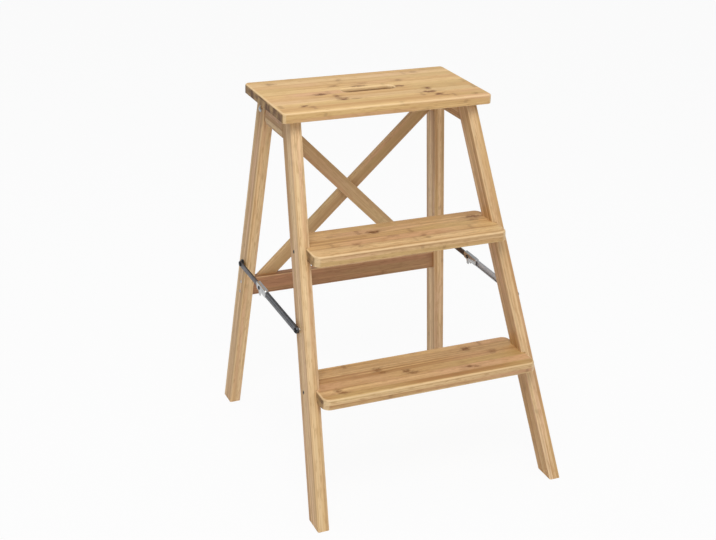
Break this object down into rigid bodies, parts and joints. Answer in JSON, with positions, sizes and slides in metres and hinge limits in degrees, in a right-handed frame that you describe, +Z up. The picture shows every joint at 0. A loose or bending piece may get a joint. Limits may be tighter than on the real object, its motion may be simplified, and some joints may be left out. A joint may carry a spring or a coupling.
{
  "type": "folding step stool",
  "caption": "Folding bamboo step stool with a raked stepped front frame, a cross-braced rear frame and a locking steel stay on each side.",
  "frame": {"origin": "on the floor under the middle of the footprint", "axes": "+X to the right across the treads, -Y to the front where the treads are climbed, +Z up"},
  "size_m": [0.4774, 0.51, 0.65],
  "materials": {
    "bamboo": "satin",
    "dowel_wood": "matte",
    "bright_steel": "satin",
    "dark_steel": "satin",
    "black_steel": "gloss"
  },
  "bodies": {
    "seat_frame": {"top_board": "bamboo", "middle_tread": "bamboo", "lower_tread": "bamboo", "board_dowels": "dowel_wood", "side_rail_dowels": "dowel_wood", "tread_screws": "dark_steel", "pivot_bracket_screws": "bright_steel", "left_front_leg": "bamboo", "left_side_rail": "bamboo", "left_pivot_bracket": "bright_steel", "left_stay_front_screw": "black_steel", "left_stay_front_spacer": "bright_steel", "right_front_leg": "bamboo", "right_side_rail": "bamboo", "right_pivot_bracket": "bright_steel", "right_stay_front_screw": "black_steel", "right_stay_front_spacer": "bright_steel"},
    "rear_frame": {"rear_top_rail": "bamboo", "rear_lower_rail": "bamboo", "front_slat": "bamboo", "back_slat": "bamboo", "slat_dowels": "dowel_wood", "slat_crossing_screw": "bright_steel", "rear_rail_screws": "bright_steel", "left_rear_leg": "bamboo", "left_pivot_bolt": "bright_steel", "left_pivot_washer": "bright_steel", "left_stay_rear_anchor": "black_steel", "right_rear_leg": "bamboo", "right_pivot_bolt": "bright_steel", "right_pivot_washer": "bright_steel", "right_stay_rear_anchor": "black_steel"},
    "left_front_arm": {"left_stay_front_arm": "dark_steel", "left_stay_knuckle": "bright_steel", "left_stay_knee_pin": "black_steel"},
    "left_rear_arm": {"left_stay_rear_arm": "dark_steel", "left_stay_rear_rivet": "black_steel"},
    "right_front_arm": {"right_stay_front_arm": "dark_steel", "right_stay_knuckle": "bright_steel", "right_stay_knee_pin": "black_steel"},
    "right_rear_arm": {"right_stay_rear_arm": "dark_steel", "right_stay_rear_rivet": "black_steel"}
  },
  "joints": [
    {"name": "rear_frame_fold", "type": "hinge", "parent": "seat_frame", "child": "rear_frame", "pos_m": [0, 0.194, 0.61], "axis": [-1, 0, 0], "range_deg": [0, 36]},
    {"name": "left_stay_front_pivot", "type": "hinge", "parent": "seat_frame", "child": "left_front_arm", "pos_m": [-0.216, -0.085, 0.3], "axis": [1, 0, 0], "range_deg": [0, 59.9]},
    {"name": "left_stay_knee", "type": "hinge", "parent": "left_front_arm", "child": "left_rear_arm", "pos_m": [-0.216, 0.1, 0.3], "axis": [-1, 0, 0], "range_deg": [0, 139.5]},
    {"name": "right_stay_front_pivot", "type": "hinge", "parent": "seat_frame", "child": "right_front_arm", "pos_m": [0.216, -0.085, 0.3], "axis": [1, 0, 0], "range_deg": [0, 59.9]},
    {"name": "right_stay_knee", "type": "hinge", "parent": "right_front_arm", "child": "right_rear_arm", "pos_m": [0.216, 0.1, 0.3], "axis": [-1, 0, 0], "range_deg": [0, 139.5]}
  ],
  "couplings": [
    {"joint": "left_stay_front_pivot", "follows": "rear_frame_fold", "ratio": 1.6623},
    {"joint": "left_stay_knee", "follows": "rear_frame_fold", "ratio": 3.8723},
    {"joint": "right_stay_front_pivot", "follows": "rear_frame_fold", "ratio": 1.6623},
    {"joint": "right_stay_knee", "follows": "rear_frame_fold", "ratio": 3.8723}
  ]
}
